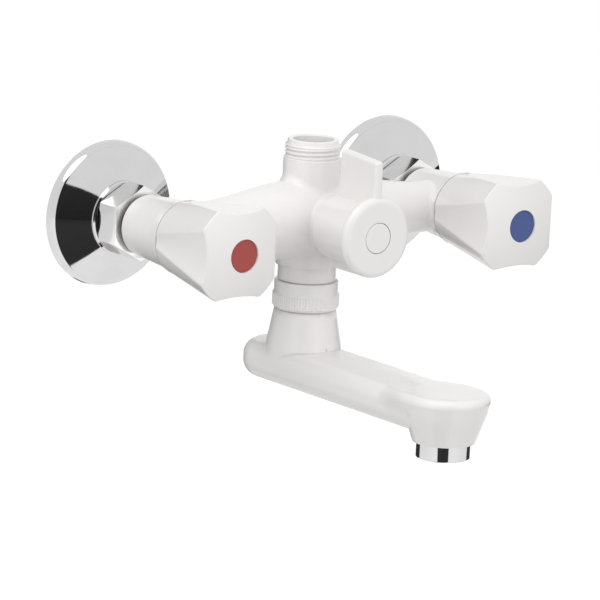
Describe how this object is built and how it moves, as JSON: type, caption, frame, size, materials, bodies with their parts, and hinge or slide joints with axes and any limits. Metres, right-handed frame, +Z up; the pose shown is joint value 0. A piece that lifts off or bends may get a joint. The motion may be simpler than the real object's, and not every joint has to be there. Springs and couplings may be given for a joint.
{
  "type": "bath mixer tap",
  "caption": "White plastic wall-mounted bath mixer with square red and blue indexed handles, upright diverter lever, threaded shower outlet and long swivel spout.",
  "frame": {"origin": "on the finished wall, midway between the two supply unions and level with the tap's own horizontal axis", "axes": "+X towards the cold side, -Y out of the wall towards the user, +Z up"},
  "size_m": [0.2136, 0.179, 0.1188],
  "materials": {
    "white_plastic": "gloss white moulded ABS",
    "chrome": "bright chrome plate",
    "plated_brass": "nickel-plated turned brass",
    "brass": "plain turned brass",
    "ceramic": "lapped alumina",
    "rubber": "matte black rubber",
    "steel": "stainless steel",
    "red_plastic": "satin red plastic",
    "blue_plastic": "satin blue plastic",
    "grey_plastic": "matte grey acetal"
  },
  "bodies": {
    "fixed": {"mixer_body": "white_plastic", "hot_s_union": "plated_brass", "hot_escutcheon": "chrome", "hot_union_nut": "chrome", "hot_union_washer": "rubber", "hot_inlet_tail": "plated_brass", "hot_seat_seal": "rubber", "hot_fixed_disc": "ceramic", "hot_valve_bonnet": "brass", "hot_bonnet_gasket": "rubber", "cold_s_union": "plated_brass", "cold_escutcheon": "chrome", "cold_union_nut": "chrome", "cold_union_washer": "rubber", "cold_inlet_tail": "plated_brass", "cold_seat_seal": "rubber", "cold_fixed_disc": "ceramic", "cold_valve_bonnet": "brass", "cold_bonnet_gasket": "rubber", "diverter_bonnet": "brass", "spout_nut": "white_plastic"},
    "hot_control": {"hot_handle": "white_plastic", "hot_valve_spindle": "brass", "hot_moving_disc": "ceramic", "hot_spindle_o_rings": "rubber", "hot_spindle_clip": "steel", "hot_handle_screw": "steel", "hot_index_cap": "red_plastic"},
    "cold_control": {"cold_handle": "white_plastic", "cold_valve_spindle": "brass", "cold_moving_disc": "ceramic", "cold_spindle_o_rings": "rubber", "cold_spindle_clip": "steel", "cold_handle_screw": "steel", "cold_index_cap": "blue_plastic"},
    "diverter": {"diverter_knob": "white_plastic", "diverter_spindle": "brass", "diverter_spool": "grey_plastic", "diverter_o_rings": "rubber", "diverter_clip": "steel", "diverter_screw": "steel", "diverter_cap": "white_plastic"},
    "spout_arm": {"spout": "white_plastic", "spout_o_rings": "rubber", "spout_retaining_ring": "grey_plastic", "aerator_shell": "chrome", "aerator_cartridge": "grey_plastic", "aerator_mesh": "steel", "aerator_washer": "rubber"}
  },
  "joints": [
    {"name": "hot_handle_turn", "type": "hinge", "parent": "fixed", "child": "hot_control", "pos_m": [-0.075, -0.077, 0], "axis": [0, -1, 0], "range_deg": [0, 180]},
    {"name": "cold_handle_turn", "type": "hinge", "parent": "fixed", "child": "cold_control", "pos_m": [0.075, -0.077, 0], "axis": [0, -1, 0], "range_deg": [0, 180]},
    {"name": "diverter_turn", "type": "hinge", "parent": "fixed", "child": "diverter", "pos_m": [0, -0.077, 0], "axis": [0, -1, 0], "range_deg": [0, 180]},
    {"name": "spout_swivel", "type": "hinge", "parent": "fixed", "child": "spout_arm", "pos_m": [0, -0.04525, -0.03], "axis": [0, 0, 1], "range_deg": [-100, 100]}
  ]
}
